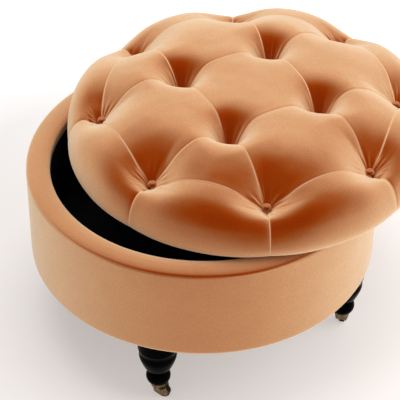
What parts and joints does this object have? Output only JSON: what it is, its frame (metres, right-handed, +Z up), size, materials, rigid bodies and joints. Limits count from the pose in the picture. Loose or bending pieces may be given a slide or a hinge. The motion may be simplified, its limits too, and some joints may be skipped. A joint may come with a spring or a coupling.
{
  "type": "ottoman with storage",
  "caption": "Round velvet storage ottoman: drum box on turned black legs with brass casters, and a loose deep-buttoned lid slid partly open.",
  "frame": {"origin": "on the floor, at the middle of the drum's axis, under the box", "axes": "+Z up; +X is the way the lid is slid open; the legs stand 0.7 degrees past the diagonals"},
  "size_m": [0.8906, 0.7924, 0.572],
  "materials": {
    "velvet": "short pile cotton velvet, copper brown, sheen at grazing angles",
    "wadding": "white polyester wadding",
    "black_lining": "black woven lining, matt",
    "dust_cloth": "black spunbonded dust cloth",
    "twine": "waxed flax twine",
    "plywood": "raw birch plywood",
    "black_lacquer": "turned hardwood in high gloss black lacquer",
    "antique_brass": "dull aged brass",
    "black_rubber": "smooth black rubber",
    "zinc_steel": "zinc plated steel"
  },
  "bodies": {
    "drum": {"bottom_board": "plywood", "outer_hoop": "plywood", "inner_skin": "plywood", "wall_studs": "plywood", "top_ring": "plywood", "side_padding": "wadding", "side_cover": "velvet", "rim_pad": "wadding", "rim_cover": "velvet", "inner_liner": "black_lining", "liner_floor": "black_lining", "base_cloth": "dust_cloth", "base_staples": "zinc_steel", "leg_tee_nuts": "zinc_steel", "hanger_bolts": "zinc_steel", "leg_front_left": "black_lacquer", "caster_socket_front_left": "zinc_steel", "leg_front_right": "black_lacquer", "caster_socket_front_right": "zinc_steel", "leg_back_right": "black_lacquer", "caster_socket_back_right": "zinc_steel", "leg_back_left": "black_lacquer", "caster_socket_back_left": "zinc_steel"},
    "lid": {"lid_deck": "plywood", "tufted_cushion": "velvet", "inner_buttons": "velvet", "outer_buttons": "velvet", "button_twines": "twine", "twine_washers": "zinc_steel", "lid_cloth": "dust_cloth", "lid_staples": "zinc_steel"},
    "caster_front_left": {"caster_fork_front_left": "antique_brass", "wheel_axle_front_left": "antique_brass"},
    "wheel_front_left": {"caster_wheel_front_left": "antique_brass", "wheel_tyre_front_left": "black_rubber"},
    "caster_front_right": {"caster_fork_front_right": "antique_brass", "wheel_axle_front_right": "antique_brass"},
    "wheel_front_right": {"caster_wheel_front_right": "antique_brass", "wheel_tyre_front_right": "black_rubber"},
    "caster_back_right": {"caster_fork_back_right": "antique_brass", "wheel_axle_back_right": "antique_brass"},
    "wheel_back_right": {"caster_wheel_back_right": "antique_brass", "wheel_tyre_back_right": "black_rubber"},
    "caster_back_left": {"caster_fork_back_left": "antique_brass", "wheel_axle_back_left": "antique_brass"},
    "wheel_back_left": {"caster_wheel_back_left": "antique_brass", "wheel_tyre_back_left": "black_rubber"}
  },
  "joints": [
    {"name": "lid_slide", "type": "slide", "parent": "drum", "child": "lid", "axis": [1, 0, 0], "range_m": [-0.114, 0.706]},
    {"name": "swivel_front_left", "type": "hinge", "parent": "drum", "child": "caster_front_left", "pos_m": [-0.22908, -0.23475, 0.05], "axis": [0, 0, 1], "continuous": true},
    {"name": "roll_front_left", "type": "hinge", "parent": "caster_front_left", "child": "wheel_front_left", "pos_m": [-0.22049, -0.24313, 0.0145], "axis": [0.6984, 0.7157, 0], "continuous": true},
    {"name": "swivel_front_right", "type": "hinge", "parent": "drum", "child": "caster_front_right", "pos_m": [0.23475, -0.22908, 0.05], "axis": [0, 0, 1], "continuous": true},
    {"name": "roll_front_right", "type": "hinge", "parent": "caster_front_right", "child": "wheel_front_right", "pos_m": [0.24313, -0.22049, 0.0145], "axis": [-0.7157, 0.6984, 0], "continuous": true},
    {"name": "swivel_back_right", "type": "hinge", "parent": "drum", "child": "caster_back_right", "pos_m": [0.22908, 0.23475, 0.05], "axis": [0, 0, 1], "continuous": true},
    {"name": "roll_back_right", "type": "hinge", "parent": "caster_back_right", "child": "wheel_back_right", "pos_m": [0.22049, 0.24313, 0.0145], "axis": [-0.6984, -0.7157, 0], "continuous": true},
    {"name": "swivel_back_left", "type": "hinge", "parent": "drum", "child": "caster_back_left", "pos_m": [-0.23475, 0.22908, 0.05], "axis": [0, 0, 1], "continuous": true},
    {"name": "roll_back_left", "type": "hinge", "parent": "caster_back_left", "child": "wheel_back_left", "pos_m": [-0.24313, 0.22049, 0.0145], "axis": [0.7157, -0.6984, 0], "continuous": true}
  ]
}
